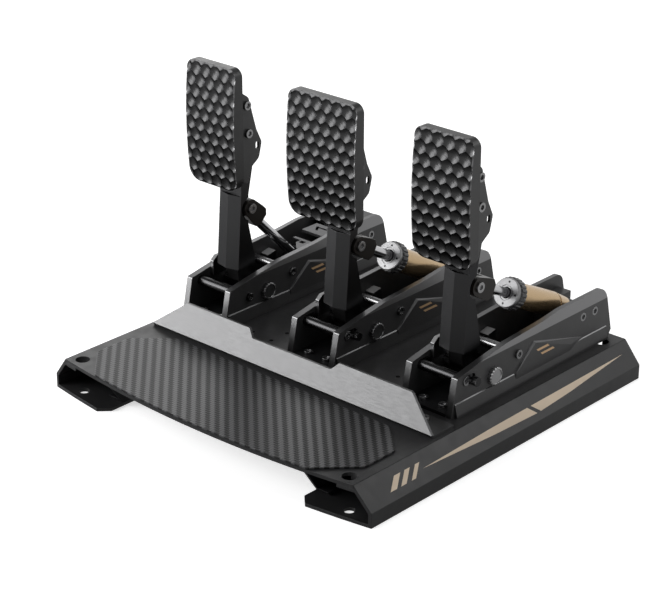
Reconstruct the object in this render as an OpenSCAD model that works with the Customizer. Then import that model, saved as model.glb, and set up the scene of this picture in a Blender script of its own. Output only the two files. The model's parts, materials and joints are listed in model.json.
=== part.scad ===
// Sim racing pedal set: clutch, brake and throttle units on a folded steel base, in millimetres.
// +X is to the driver's right, +Y points away from the driver and +Z up.
// The origin is on the floor, in the middle of the four mounting bolts.

/* [Base] */
// Width over both rails
base_w = 361; // [350:1:420]
// Length of the rails
base_l = 355; // [350:1:420]
// Height of the deck's top face over the floor
deck_top = 32.7; // [30:0.1:45]
// Thickness of the deck and of the rails
sheet_t = 3; // [2:0.5:4]
// Width of the slope between the deck and a rail's wall
slope_run = 16.5; // [12:0.5:22]
// Height of a rail's upright wall
wall_h = 13; // [8:0.5:18]
// Width of a rail's bottom flange
flange_w = 69.5; // [62:0.5:80]
// How far the middle of the front edge stands forward of the deck's corners
bulge = 12.8; // [6:0.2:20]
// Width of the tab by which a rail or a web holds the deck
tab_w = 15; // [10:0.5:25]
// Thickness of the webs that close the rails on the inside
web_t = 3; // [2:0.5:4]
// Chamfer on the inner front corner of a rail's flange
flange_chamfer = 11; // [4:1:16]

/* [Mounting holes] */
// Distance between the mounting holes across the base
bolt_spacing_x = 304.6; // [290:0.2:320]
// Distance between the mounting holes along the base
bolt_spacing_y = 327.5; // [300:0.5:330]
// Distance of the front mounting holes from the rails' front corners
bolt_setback = 9; // [8:0.5:16]
// Diameter of a mounting hole
bolt_d = 9; // [6:0.5:11]
// Diameter of the hole in the deck that lets the tool in
access_d = 12.6; // [11:0.1:16]

/* [Footrest] */
// Half the width of the footrest at its sides
mat_half_w = 152.7; // [130:0.1:156]
// Half the width of the footrest's rear edge
mat_rear_half_w = 122.2; // [100:0.1:135]
// Place of the footrest's rear edge
mat_rear = 89.9; // [80:0.1:94]
// Place where the sides turn in to the rear edge
mat_side_rear = 62.6; // [50:0.1:70]
// Place where the sides turn in to the front corners
mat_side_front = 26; // [20:0.5:40]
// Thickness of the footrest plate
mat_t = 1.8; // [1:0.1:3]
// Corner radius of the footrest plate
mat_corner_r = 8; // [2:0.5:12]

/* [Heel plate] */
// Half the width of the heel plate at its foot
heel_half_w = 159.7; // [140:0.1:162]
// Half the width of the heel plate's top edge
heel_top_half_w = 128.3; // [100:0.1:138]
// Place of the heel plate's front edge
heel_front = 97.7; // [96:0.1:104]
// How far the heel plate leans back
heel_lean = 12.7; // [6:0.1:16]
// Height of the heel plate over the deck
heel_h = 26.2; // [18:0.1:40]
// Thickness of the heel plate
heel_t = 2; // [1.5:0.1:3]
// Depth of the heel plate's foot, behind its face
heel_foot = 28; // [18:0.5:30]
// Depth of the notch in the top edge
notch_d = 6.5; // [2:0.5:12]
// Half the width of the notch
notch_half_w = 48; // [30:0.5:60]
// Corner radius of the heel plate's top
heel_corner_r = 3; // [1:0.5:3]

/* [Pedal units] */
// Distance between the units
unit_pitch = 127.8; // [110:0.2:128]
// Sideways place of the middle unit
units_x = -4.8; // [-5:0.2:4]
// Width over a unit's side plates
unit_w = 53.4; // [50:0.2:62]
// Thickness of a side plate
plate_t = 6; // [4:0.5:7]
// Place of a unit's front end
unit_front = 134; // [130:0.5:140]
// Length of a unit
unit_l = 219; // [212:0.5:220]
// Height of a side plate at its front end
plate_h_front = 33.3; // [30:0.1:40]
// Height of a side plate at its rear end
plate_h_rear = 48.3; // [44:0.1:56]
// Height of the fold line near a side plate's foot
foot_h = 11.8; // [6:0.1:16]
// How far the foot flares out
foot_flare = 3; // [1:0.1:4]
// Height at which the bevel of the outer face begins
bevel_h = 38.3; // [34:0.1:42]
// Slant of that bevel, in degrees
bevel_a = 10; // [4:1:15]
// Height of the gusset's peak over the foot's fold line
gusset_h = 21; // [14:0.5:22]
// Length of the gusset
gusset_l = 96; // [70:1:110]
// How far the gusset's panel stands proud of the outer face
gusset_t = 1.8; // [1:0.1:2.5]
// Thickness of a unit's floor
floor_t = 3; // [2:0.5:4]
// Height of the rear screws over the deck
rear_screw_h = 31; // [29:0.5:32]
// Height of the rear block over the deck
block_h = 36; // [35:0.5:38]

/* [Axle and cross bars] */
// Distance of the pedal axle behind the unit's front end
axle_setback = 53.6; // [52:0.1:56]
// Height of the pedal axle over the deck
axle_h = 20.3; // [19:0.1:24]
// Diameter of the pedal axle
axle_d = 10; // [8:0.5:12]
// Diameter of the axle's end caps
cap_d = 16; // [14:0.5:18]
// Thickness of the axle's end caps
cap_t = 4; // [2:0.5:6]
// Diameter of the front stop bar
stop_bar_d = 9; // [8.5:0.5:11]
// Distance of the front stop bar behind the unit's front end
stop_bar_setback = 18.2; // [17:0.1:19]
// Height of the front stop bar over the deck
stop_bar_h = 27.8; // [26:0.1:28]
// Length of the slot in which the brake's and throttle's stop bar slides
slot_l = 16; // [14:0.5:20]
// Width of that slot
slot_w = 8.4; // [7:0.1:8.6]
// Diameter of the rear cross bar
cross_bar_d = 8; // [7:0.5:10]
// Distance of the rear cross bar behind the axle
cross_bar_gap = 31.8; // [30:0.1:34]
// Height of the rear cross bar over the deck
cross_bar_h = 28.6; // [26:0.1:30]

/* [Pedal arm] */
// Width of the arm
arm_w = 26; // [22:0.5:27]
// How far the ridge of the arm's front stands proud
ridge = 3; // [1:0.2:4]
// Width of the hub and of the neck above it
hub_w = 14; // [14:0.5:22]
// Diameter of the hub
hub_d = 26; // [22:0.5:28]
// Height of the clevis pin over the axle
pin_rise = 76.5; // [72:0.1:80]
// How far the clevis pin lies in front of the axle
pin_fore = 5.6; // [4.6:0.1:6]
// Diameter of the clevis pin
pin_d = 6; // [4:0.5:7]
// Diameter of the arm's lug for that pin
lug_d = 16; // [13:0.5:16]
// Width of that lug
lug_w = 14; // [10:0.5:15]
// Height of the arm's top over the axle
arm_rise = 180; // [170:1:190]

/* [Pads] */
// Height of the pads
pad_h = 110; // [90:1:120]
// Depth of the pads' lower edge under the arm's top
pad_drop = 77; // [72:0.5:82]
// How far the pads' flat back lies in front of the axle
pad_fore = 28.6; // [27.6:0.1:29.6]
// Thickness of a pad at its corners
pad_edge_t = 9.4; // [7:0.1:12]
// How far the middle of a pad's face stands proud of its ends
pad_crown = 3.6; // [1:0.1:6]
// Width of the clutch pad
clutch_pad_w = 58; // [50:1:70]
// Width of the brake pad
brake_pad_w = 76; // [60:1:90]
// Width of the throttle pad
throttle_pad_w = 60; // [50:1:70]
// Corner radius of a pad's top
pad_top_r = 8; // [4:0.5:14]
// Corner radius of a pad's foot
pad_foot_r = 12; // [4:0.5:20]
// Thickness of the pad bracket
bracket_t = 2.5; // [2:0.1:3]
// Depth of the bracket's lower screw under the arm's top
low_screw_drop = 32.3; // [30:0.1:35]
// Distance between the bracket's two screws
screw_gap = 25.7; // [22:0.1:27]
// Depth of the bracket's slot under the arm's top
slot_drop = 46; // [44:0.5:48]

/* [Springs and dampers] */
// Distance of the cylinders' rear pivot behind the unit's front end
pivot_setback = 189; // [187:0.5:190]
// Height of the brake's rear pivot over the deck
brake_pivot_h = 19; // [18:0.5:22]
// Height of the throttle's rear pivot over the deck
throttle_pivot_h = 28; // [24:0.5:32]
// Diameter of that pivot's pin
pivot_d = 8; // [6:0.5:9]
// Diameter of the throttle rod
throttle_rod_d = 8; // [7:0.5:9]
// Diameter of the brake rod
brake_rod_d = 9.5; // [8:0.5:10]
// Diameter of the clutch rod
clutch_rod_d = 9; // [7:0.5:9]
// Outer diameter of a cylinder
cylinder_d = 22; // [21:0.5:23]
// Diameter of the bore of a cylinder
cylinder_bore_d = 15; // [14:0.5:16]
// Distance from the clevis pin to the adjuster's face
adjuster_s = 60; // [58:0.5:64]
// Diameter of the adjuster's knurled collar
collar_d = 28; // [26.5:0.5:29]
// Length of that collar
collar_l = 8; // [5:0.5:10]
// Diameter of the adjuster's front disc
disc_d = 25.4; // [24:0.2:26]
// Thickness of that disc
disc_t = 3.5; // [2:0.5:5]
// Distance of the clutch slider's pivot behind the unit's front end
slider_setback = 127.5; // [126:0.5:129]
// Height of the clutch slider's pivot over the deck
slider_h = 17.3; // [17:0.1:18]
// Outer diameter of the clutch slider's tube
slider_d = 13; // [12.5:0.1:13.5]

/* [Clevis] */
// Width over the clevis
clevis_w = 28; // [26:0.5:29]
// Distance from the clevis pin to the clevis's rear face
clevis_l = 21.5; // [21:0.5:26]
// Height of the clevis block
clevis_h = 18.5; // [18:0.5:22]
// Diameter of the clevis's cheeks round the pin
cheek_d = 16; // [14:0.5:17]

/* [Controller] */
// Width of the controller box under the deck
box_w = 84; // [60:1:110]
// Length of the controller box
box_l = 56; // [40:1:80]
// Height of the controller box
box_h = 22; // [18:0.5:25]
// Width of its data socket
socket_w = 12.2; // [9:0.1:14]
// Height of its data socket
socket_h = 11; // [6:0.1:12]
// Depth of its data socket
socket_l = 12; // [6:0.5:16]

/* [Fits] */
// Radial clearance of a shaft or screw in its hole
fit = 0.05; // [0.02:0.01:0.1]
// Side clearance between pieces that turn past each other
side_gap = 0.3; // [0.2:0.05:0.5]
// Radial clearance of a rod in its cylinder, where the closed linkage is opened
rod_gap = 0.7; // [0.6:0.05:1]
// Width of the seam between the deck and a rail's slope
seam = 0.3; // [0.1:0.05:0.6]

/* [Hidden] */
$fn = 64;
arc_fn = 360;
corner_steps = 12;

clutch = -1;
brake = 0;
throttle = 1;
units = [clutch, brake, throttle];
sides = [-1, 1];

black = "#2a2b2d";
dark = "#1c1d1f";
satin = "#a9aaac";
steel = "#c9cbce";
gold = "#c9a368";

// Base, worked out
hw = base_w / 2;
deck_hw = hw - slope_run;
deck_bottom = deck_top - sheet_t;
front_r = (deck_hw * deck_hw + bulge * bulge) / (2 * bulge);
flange_in = hw - flange_w;
web_front_top = -2;
web_front_foot = 16;
bolt_x = bolt_spacing_x / 2;
bolt_ys = [bolt_setback, bolt_setback + bolt_spacing_y];
bolt_mid_y = bolt_setback + bolt_spacing_y / 2;
slope_a = slope_run - seam;
slope_b = deck_top - wall_h;
slope_len = norm([slope_a, slope_b]);
bend_s = sheet_t * (slope_len - slope_b) / slope_a;
bend_z = wall_h - sheet_t * slope_a / slope_len + bend_s * slope_b / slope_len;
tab_s = (deck_bottom - sheet_t - wall_h + sheet_t * slope_a / slope_len) * slope_len / slope_b;
tab_x = hw - sheet_t * slope_b / slope_len - tab_s * slope_a / slope_len;

// Small tapped holes in the deck beside each unit, from the unit's middle
deck_hole_d = 4;
deck_holes = [[48, 147], [72, 145], [72, 165]];

// Screws
screw_d = 4;
head_d = 8;
head_h = 2.4;
socket_d = 4.6;
socket_deep = 1.4;
grip = 6;
screw_hole_d = screw_d + 2 * fit;

// Pedal units, worked out
inner = unit_w / 2 - plate_t;
outer = unit_w / 2;
unit_rear = unit_front + unit_l;
floor_top = deck_top + floor_t;
axle_y = unit_front + axle_setback;
axle_z = deck_top + axle_h;
stop_bar = [unit_front + stop_bar_setback, deck_top + stop_bar_h];
low_bar = stop_bar + [12.5, -6.5];
cross_bar = [axle_y + cross_bar_gap, deck_top + cross_bar_h];
pivot_y = unit_front + pivot_setback;
rear_screw_ys = [pivot_y - 12, pivot_y + 5];
rear_screw_z = deck_top + rear_screw_h;
floor_screw_y = unit_front + 9.8;
floor_screw_x = inner / 2;

// Adjustable stop: the tongue at the bar's end, and the knob that clamps it
tongue_recess = 1.5;
knob = stop_bar + [7, -1.2];
knob_d = 8;
knob_l = 6;

// Pedal linkage, worked out: the pin and the rear pivots as [y, z]
pin = [axle_y - pin_fore, axle_z + pin_rise];
function pivot(u) = [pivot_y, deck_top + (u == brake ? brake_pivot_h : throttle_pivot_h)];
slider_y = unit_front + slider_setback;
slider = [slider_y, deck_top + slider_h];
function cylinder_l(u) = norm(pivot(u) - pin);
function cylinder_a(u) = atan2(pin[1] - pivot(u)[1], pivot_y - pin[0]);
slider_l = norm(slider - pin);
slider_a = atan2(pin[1] - slider[1], slider[0] - pin[0]);
eye_d = cylinder_d - 6;
eye_w = 16;
cylinder_s = adjuster_s + disc_t + side_gap;
function cylinder_end(u) = cylinder_l(u) - eye_d / 2 - 0.5;
lid_t = 4;
end_wall = 8;
piston_t = 4;
piston_s = adjuster_s + 24;
rod_seat = 8;
nut_af = 13;
nut_t = 5;
slider_reach = 20;
slider_rod_end = slider_l - 14;

// Arm, worked out from the axle and the pin
arm_foot_z = axle_z + 22;
arm_break_z = pin[1] + 13.5;
arm_top_z = axle_z + arm_rise;
arm_lean = atan2(4.9, 67);
pocket_d = cheek_d + 6;
pad_back = axle_y - pad_fore;
pad_z = arm_top_z - pad_drop;
bracket_in = arm_w / 2 + side_gap;
bracket_out = bracket_in + bracket_t;
low_screw = [axle_y - 10.4, arm_top_z - low_screw_drop];
bracket_screws = [low_screw, low_screw + [-1.6, screw_gap]];
bracket_slot = [axle_y + 1, arm_top_z - slot_drop];
pad_screw_zs = [pad_z + 28, pad_z + 74];

// Fillets the corners of an outline whose points are [x, y, radius].
function corner(a, b, c, r) = let(
    u = (a - b) / norm(a - b),
    v = (c - b) / norm(c - b),
    half = acos(max(-1, min(1, u * v))) / 2,
    cut = r / tan(half),
    centre = b + (u + v) / norm(u + v) * r / sin(half),
    p = b + u * cut - centre,
    q = b + v * cut - centre,
    from = atan2(p[1], p[0]),
    turn = atan2(p[0] * q[1] - p[1] * q[0], p * q)
) [
    for (i = [0 : corner_steps])
        let(angle = from + turn * i / corner_steps)
        centre + r * [cos(angle), sin(angle)]
];
function xy(p) = [p[0], p[1]];
function rounded(points) = [
    for (i = [0 : len(points) - 1])
        let(
            n = len(points),
            a = points[(i + n - 1) % n],
            b = points[i],
            c = points[(i + 1) % n]
        )
        each (b[2] > 0 ? corner(xy(a), xy(b), xy(c), b[2]) : [xy(b)])
];
function unit_x(u) = units_x + u * unit_pitch;

// Moves what is drawn from the rails' front corners to the part's own frame.
module in_frame() translate([0, -bolt_mid_y, 0]) children();

// The same, for a piece of one pedal unit, drawn about the unit's middle.
module in_unit(u) in_frame() translate([unit_x(u), 0, 0]) children();

// Draws an outline of [y, z] points as a plate from x0 to x1.
module plate(points, x0, x1)
    translate([x0, 0, 0]) rotate([90, 0, 90]) linear_extrude(x1 - x0) polygon(points);

// Draws an outline of [x, z] points as a bar from y0 to y1.
module bar(points, y0, y1)
    translate([0, y1, 0]) rotate([90, 0, 0]) linear_extrude(y1 - y0) polygon(points);

// A round rod across the unit, at [y, z], from x0 to x1.
module across(at, d, x0, x1)
    translate([x0, at[0], at[1]]) rotate([0, 90, 0]) cylinder(d = d, h = x1 - x0);

// A round hole straight down at [x, y], from z0 to z1.
module hole_down(at, d, z0, z1) translate([at[0], at[1], z0]) cylinder(d = d, h = z1 - z0);

// Draws what is drawn for the right side on both sides of a unit.
module both_sides() for (s = sides) mirror([s < 0 ? 1 : 0, 0, 0]) children();

// Lays what is drawn along +Z on the line from the clevis pin that falls by angle a.
module along(a) translate([0, pin[0], pin[1]]) rotate([-(90 + a), 0, 0]) children();

// A round rod on that line, from s0 to s1.
module rod(d, s0, s1) translate([0, 0, s0]) cylinder(d = d, h = s1 - s0);

// Space inside the front edge's arc.
module front_arc(inset = 0)
    translate([0, front_r - bulge, -1]) cylinder(r = front_r - inset, h = deck_top + 20, $fn = arc_fn);

module mount_holes(d, z0, z1) for (s = sides, y = bolt_ys) hole_down([s * bolt_x, y], d, z0, z1);

// A socket head screw whose head stands on z = 0 and whose shank goes down.
module screw(shank_l, d = screw_d) {
    difference() {
        cylinder(d = head_d, h = head_h);
        translate([0, 0, head_h - socket_deep]) cylinder(d = socket_d, h = socket_deep + 1, $fn = 6);
    }
    translate([0, 0, -shank_l]) cylinder(d = d, h = shank_l);
}

// A screw that enters a side plate from outside, on side s at [y, z].
module side_screw(s, at, x, shank_l) translate([s * x, at[0], at[1]]) rotate([0, s * 90, 0]) screw(shank_l);

module deck() color(black) in_frame() difference() {
    intersection() {
        translate([-deck_hw, -bulge, deck_bottom]) cube([2 * deck_hw, base_l + bulge, sheet_t]);
        front_arc();
    }
    mount_holes(access_d, deck_bottom - 1, deck_top + 1);
    for (u = [clutch, brake], p = deck_holes)
        hole_down([unit_x(u) + p[0], p[1]], deck_hole_d, deck_bottom - 1, deck_top + 1);
    for (u = units, s = sides)
        hole_down([unit_x(u) + s * floor_screw_x, floor_screw_y], screw_hole_d, deck_bottom - 1, deck_top + 1);
    for (x = heel_screw_xs) hole_down([x, heel_screw_y], screw_hole_d, deck_bottom - 1, deck_top + 1);
}

// One folded rail: foot flange, wall, slope and the tab under the deck.
module rail() difference() {
    intersection() {
        bar([
            [flange_in, 0], [hw, 0], [hw, wall_h], [deck_hw + seam, deck_top],
            [deck_hw + seam, deck_bottom], [deck_hw - tab_w, deck_bottom],
            [deck_hw - tab_w, deck_bottom - sheet_t], [tab_x, deck_bottom - sheet_t],
            [hw - sheet_t, bend_z], [hw - sheet_t, sheet_t], [flange_in, sheet_t]
        ], -bulge, base_l);
        front_arc();
    }
    translate([flange_in, -bulge, -1]) rotate([0, 0, 45])
        cube([2 * flange_chamfer, 2 * flange_chamfer, 2 * sheet_t + 2], center = true);
    mount_holes(bolt_d, -1, sheet_t + 1);
    mount_holes(access_d, deck_bottom - sheet_t - 1, deck_bottom + 1);
}
module rail_left() color(black) in_frame() mirror([1, 0, 0]) rail();
module rail_right() color(black) in_frame() rail();

// The channel that closes a rail on its inside and carries the deck.
module web() intersection() {
    bar([
        [flange_in, sheet_t], [flange_in + tab_w, sheet_t], [flange_in + tab_w, sheet_t + web_t],
        [flange_in + web_t, sheet_t + web_t], [flange_in + web_t, deck_bottom - web_t],
        [flange_in + tab_w, deck_bottom - web_t], [flange_in + tab_w, deck_bottom], [flange_in, deck_bottom]
    ], -bulge, base_l);
    plate([
        [web_front_top, deck_bottom], [web_front_foot, sheet_t], [base_l, sheet_t], [base_l, deck_bottom]
    ], 0, hw);
}
module rail_webs() color(dark) in_frame() {
    web();
    mirror([1, 0, 0]) web();
}

module footrest_mat() color(dark) in_frame() intersection() {
    translate([0, 0, deck_top]) linear_extrude(mat_t) polygon(rounded([
        [mat_rear_half_w, mat_rear, mat_corner_r], [mat_half_w, mat_side_rear, mat_corner_r],
        [mat_half_w, mat_side_front, mat_corner_r], [mat_half_w - mat_side_front - bulge, -bulge, 0],
        [-mat_half_w + mat_side_front + bulge, -bulge, 0], [-mat_half_w, mat_side_front, mat_corner_r],
        [-mat_half_w, mat_side_rear, mat_corner_r], [-mat_rear_half_w, mat_rear, mat_corner_r]
    ]));
    front_arc(seam);
}

// Heel plate, bent from one sheet: a leaning face and a foot behind it
heel_gap = 2.6;
heel_bend = 1.8;
heel_slope = [heel_lean, heel_h - heel_gap];
heel_back = heel_t * norm(heel_slope) / heel_slope[1];
heel_screw_y = heel_front + heel_foot - 8;
heel_screw_xs = [for (s = sides, inset = [24, 96]) s * (heel_half_w - inset)];
notch_x = units_x + 3.5;
notch_in = notch_half_w - notch_d / 2;
notch_out = notch_half_w + notch_d / 2;
module heel_plate() color(satin) in_frame() difference() {
    intersection() {
        plate([
            [heel_front, deck_top + heel_gap], [heel_front + heel_lean, deck_top + heel_h],
            [heel_front + heel_lean + heel_back, deck_top + heel_h],
            [heel_front + heel_back + heel_lean * (heel_t - heel_gap) / heel_slope[1], deck_top + heel_t],
            [heel_front + heel_foot, deck_top + heel_t], [heel_front + heel_foot, deck_top],
            [heel_front + heel_bend, deck_top]
        ], -heel_half_w, heel_half_w);
        bar(rounded([
            [-heel_half_w, deck_top, 0], [heel_half_w, deck_top, 0], [heel_half_w, deck_top + heel_gap, 0],
            [heel_top_half_w, deck_top + heel_h, heel_corner_r],
            [notch_x + notch_out, deck_top + heel_h, heel_corner_r],
            [notch_x + notch_in, deck_top + heel_h - notch_d, heel_corner_r],
            [notch_x - notch_in, deck_top + heel_h - notch_d, heel_corner_r],
            [notch_x - notch_out, deck_top + heel_h, heel_corner_r],
            [-heel_top_half_w, deck_top + heel_h, heel_corner_r], [-heel_half_w, deck_top + heel_gap, 0]
        ]), heel_front - 1, heel_front + heel_foot + 1);
    }
    for (x = heel_screw_xs) hole_down([x, heel_screw_y], screw_hole_d, deck_top - 1, deck_top + heel_t + 1);
}

module frame_screws() color(steel) in_frame() {
    for (x = heel_screw_xs) translate([x, heel_screw_y, deck_top + heel_t]) screw(heel_t + sheet_t);
    for (u = units) translate([unit_x(u), 0, 0]) {
        for (s = sides) {
            translate([s * floor_screw_x, floor_screw_y, floor_top]) screw(floor_t + sheet_t);
            if (u == clutch) side_screw(s, low_bar, outer, plate_t + grip);
            if (u != clutch) side_screw(s, stop_bar, outer - tongue_recess, plate_t + grip - tongue_recess);
            side_screw(s, cross_bar, outer, plate_t + grip);
            for (y = rear_screw_ys)
                side_screw(s, [y, rear_screw_z], outer - head_h, plate_t + grip - head_h);
        }
        if (u != clutch) both_sides() knob_screw();
    }
}

// The knob that clamps the adjustable stop, on the right side
module knob_screw() {
    across(knob, screw_d, outer - plate_t, outer + 1);
    across(knob, knob_d, outer + 1, outer + 1 + knob_l, $fn = 12);
}

module controller_box() color(dark) in_frame() difference() {
    translate([-box_w / 2, base_l - box_l - sheet_t, deck_bottom - box_h]) cube([box_w, box_l, box_h]);
    translate([-socket_w / 2, base_l - socket_l - sheet_t, deck_bottom - box_h / 2 - socket_h / 2])
        cube([socket_w, socket_l + 1, socket_h]);
}

// Side plates
plate_outline = rounded([
    [unit_front, deck_top, 0], [unit_front + 7, deck_top + plate_h_front, 1.5],
    [unit_front + 36, deck_top + plate_h_front + 5, 0],
    [unit_front + 70, deck_top + plate_h_front + 9.6, 0],
    [unit_front + 121, deck_top + plate_h_rear - 2.7, 0],
    [unit_front + 145, deck_top + plate_h_rear, 0],
    [unit_rear - 10, deck_top + plate_h_rear, 10],
    [unit_rear, deck_top + 6, 0], [unit_rear - 4, deck_top, 0]
]);
gusset_front = [unit_front + 81.5, deck_top + foot_h];
gusset_peak = gusset_front + [25.5, gusset_h];
gusset_rear = gusset_front + [gusset_l, 1];
gusset_corner = gusset_rear - [20, 0];
gusset_foot = deck_top + 1.5;
gusset_edge = 0.8;
gusset_root = 0.5;

// A raised panel over the flared foot, whose upper edge falls off in one long narrow facet
module gusset() hull() {
    plate([
        gusset_front, gusset_peak, gusset_rear,
        [gusset_rear[0], gusset_foot], [gusset_front[0], gusset_foot]
    ], outer - gusset_root, outer);
    plate([
        gusset_front + [gusset_edge, 0], gusset_peak + [gusset_edge, -1.4], gusset_corner,
        [gusset_corner[0], gusset_foot], [gusset_front[0] + gusset_edge, gusset_foot]
    ], outer, outer + gusset_t);
}

// Outline of the stop's slot, and of the tongue in it, smaller by gap all round
function slot_outline(gap) = let(
    r = slot_w / 2 - gap,
    y0 = stop_bar[0] - r,
    y1 = stop_bar[0] - slot_w / 2 + slot_l - gap
) rounded([
    [y0, stop_bar[1] - r, r * 0.9], [y0, stop_bar[1] + r, r * 0.9],
    [y1, stop_bar[1] + r, r * 0.9], [y1, stop_bar[1] - r, r * 0.9]
]);
module side_plate(u) difference() {
    union() {
        difference() {
            plate(plate_outline, inner, outer);
            translate([outer, unit_front - 1, deck_top + bevel_h]) rotate([0, -bevel_a, 0])
                cube([plate_t, unit_l + 2, plate_h_rear]);
        }
        bar([
            [outer, deck_top], [outer + foot_flare, deck_top], [outer + foot_flare, deck_top + 2],
            [outer + 0.8, deck_top + foot_h - 0.6], [outer, deck_top + foot_h]
        ], unit_front + 4, unit_rear - 8);
        gusset();
    }
    across([axle_y, axle_z], axle_d + 2 * fit, inner - 1, outer + 1);
    across(cross_bar, screw_hole_d, inner - 1, outer + 1);
    for (y = rear_screw_ys) {
        across([y, rear_screw_z], screw_hole_d, inner - 1, outer + 1);
        across([y, rear_screw_z], head_d + 4 * fit, outer - head_h - fit, outer + 1);
    }
    if (u == clutch) {
        across(low_bar, screw_hole_d, inner - 1, outer + 1);
        across(stop_bar, stop_bar_d + 2 * fit, inner - 1, inner + plate_t / 2);
    }
    if (u != clutch) plate(slot_outline(0), inner - 1, outer + 1);
    if (u == clutch) across(slider, pivot_d + 2 * fit, inner - 1, outer + 1);
}
module side(u, s) color(black) in_unit(u) mirror([s < 0 ? 1 : 0, 0, 0]) side_plate(u);
module clutch_side_left() side(clutch, -1);
module clutch_side_right() side(clutch, 1);
module brake_side_left() side(brake, -1);
module brake_side_right() side(brake, 1);
module throttle_side_left() side(throttle, -1);
module throttle_side_right() side(throttle, 1);

// Floor of a unit
module unit_floor(u) color(dark) in_unit(u) difference() {
    translate([-inner, unit_front, deck_top]) cube([2 * inner, unit_l - 8, floor_t]);
    for (s = sides) hole_down([s * floor_screw_x, floor_screw_y], screw_hole_d, deck_top - 1, floor_top + 1);
}
module clutch_floor() unit_floor(clutch);
module brake_floor() unit_floor(brake);
module throttle_floor() unit_floor(throttle);

// Axle: a shaft with one fixed cap, the other cap, and a spacer on each side of the hub
spacer_d = cap_d - 1;
module axle(u) color(steel) in_unit(u) {
    across([axle_y, axle_z], axle_d, -outer, outer);
    across([axle_y, axle_z], cap_d, outer, outer + cap_t);
    across([axle_y, axle_z], cap_d, -outer - cap_t, -outer - fit);
    both_sides() difference() {
        across([axle_y, axle_z], spacer_d, hub_w / 2 + side_gap, inner);
        across([axle_y, axle_z], axle_d + 2 * fit, 0, outer);
    }
}
module clutch_axle() axle(clutch);
module brake_axle() axle(brake);
module throttle_axle() axle(throttle);

// A bar between the side plates, tapped at both ends
module tie_bar(at, d) difference() {
    across(at, d, -inner, inner);
    both_sides() across(at, screw_hole_d, inner - grip - 1, inner + 1);
}

// The adjustable stop: a bar whose ends are tongues that slide in the slots
module sliding_stop() difference() {
    union() {
        across(stop_bar, stop_bar_d, -inner, inner);
        both_sides() plate(slot_outline(side_gap), inner - 2, outer - tongue_recess);
    }
    both_sides() {
        across(stop_bar, screw_hole_d, inner - grip - 1, outer);
        across(knob, screw_hole_d, inner - 3, outer);
    }
}

// Rear cross bar and front stop. The clutch's stop bar is fixed, over a lower bar that holds the plates.
module tie_bars(u) color(steel) in_unit(u) {
    tie_bar(cross_bar, cross_bar_d);
    if (u == clutch) {
        tie_bar(low_bar, cross_bar_d);
        across(stop_bar, stop_bar_d, -inner - plate_t / 2 + fit, inner + plate_t / 2 - fit);
    }
    if (u != clutch) sliding_stop();
}
module clutch_tie_bars() tie_bars(clutch);
module brake_tie_bars() tie_bars(brake);
module throttle_tie_bars() tie_bars(throttle);

// Angle sensor on the left plate, by the hub, and its wiring block behind the cross bar
sensor_t = 4;
block_w = 9;
module sensor(u) color(satin) in_unit(u) {
    plate(rounded([
        [axle_y - 24, axle_z + cap_d / 2 + 1, 0], [axle_y - 24, axle_z + 23, 1], [axle_y - 19, axle_z + 27, 1],
        [axle_y - 9, axle_z + 27, 1], [axle_y - 6, axle_z + cap_d / 2 + 1, 0]
    ]), -inner, -inner + sensor_t);
    plate(rounded([
        [cross_bar[0] + 8, cross_bar[1] - 5, 0], [cross_bar[0] + 9, cross_bar[1] + 2, 1],
        [cross_bar[0] + 20, cross_bar[1] + 4, 1], [cross_bar[0] + 20, cross_bar[1] - 5, 0]
    ]), -inner, -inner + block_w);
}
module clutch_sensor() sensor(clutch);
module brake_sensor() sensor(brake);
module throttle_sensor() sensor(throttle);

// Arm: a body with a ridged front, a curved head inside the pad bracket, a lug for the pin and a hub
function arm_front_y(z) = axle_y - 22.2 + (z - arm_foot_z) * tan(arm_lean);
module arm(u) color(black) in_unit(u) difference() {
    union() {
        intersection() {
            plate([
                [arm_front_y(arm_foot_z) - ridge, arm_foot_z], [axle_y - 0.6, arm_foot_z],
                [axle_y - 0.8, arm_foot_z + 5], [pin[0] + 0.6, pin[1] - 30], [pin[0] - 3, pin[1] - 14],
                [pin[0] - 2.5, arm_break_z], [arm_front_y(arm_break_z) - ridge, arm_break_z]
            ], -arm_w / 2, arm_w / 2);
            translate([0, arm_front_y(arm_foot_z), arm_foot_z]) rotate([-arm_lean, 0, 0])
                translate([0, 0, -20]) linear_extrude(arm_top_z - arm_foot_z) polygon([
                    [-arm_w / 2, 0], [0, -ridge], [arm_w / 2, 0], [arm_w / 2, 40], [-arm_w / 2, 40]
                ]);
        }
        plate(rounded([
            [arm_front_y(arm_break_z), arm_break_z, 0], [pin[0] - 2.5, arm_break_z, 0],
            [axle_y - 2, bracket_slot[1] - 16, 12], [axle_y - 0.5, bracket_slot[1] + 4, 12],
            [axle_y - 3, low_screw[1], 12], [axle_y - 10, arm_top_z, 2],
            [axle_y - 21, arm_top_z, 2], [axle_y - 17, bracket_slot[1] - 6, 30]
        ]), -arm_w / 2, arm_w / 2);
        plate([
            [axle_y - 17, arm_foot_z], [axle_y - 16, axle_z + 8], [axle_y - 12, axle_z],
            [axle_y + 11, axle_z], [axle_y - 0.6, arm_foot_z]
        ], -hub_w / 2, hub_w / 2);
        across([axle_y, axle_z], hub_d, -hub_w / 2, hub_w / 2);
        across(pin, lug_d, -lug_w / 2, lug_w / 2);
    }
    both_sides() across(pin, pocket_d, lug_w / 2, arm_w);
    across([axle_y, axle_z], axle_d + 2 * fit, -hub_w, hub_w);
    across(pin, pin_d + 2 * fit, -lug_w, lug_w);
    for (p = bracket_screws) across(p, screw_hole_d, -arm_w, arm_w);
}
module clutch_arm() arm(clutch);
module brake_arm() arm(brake);
module throttle_arm() arm(throttle);

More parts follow.
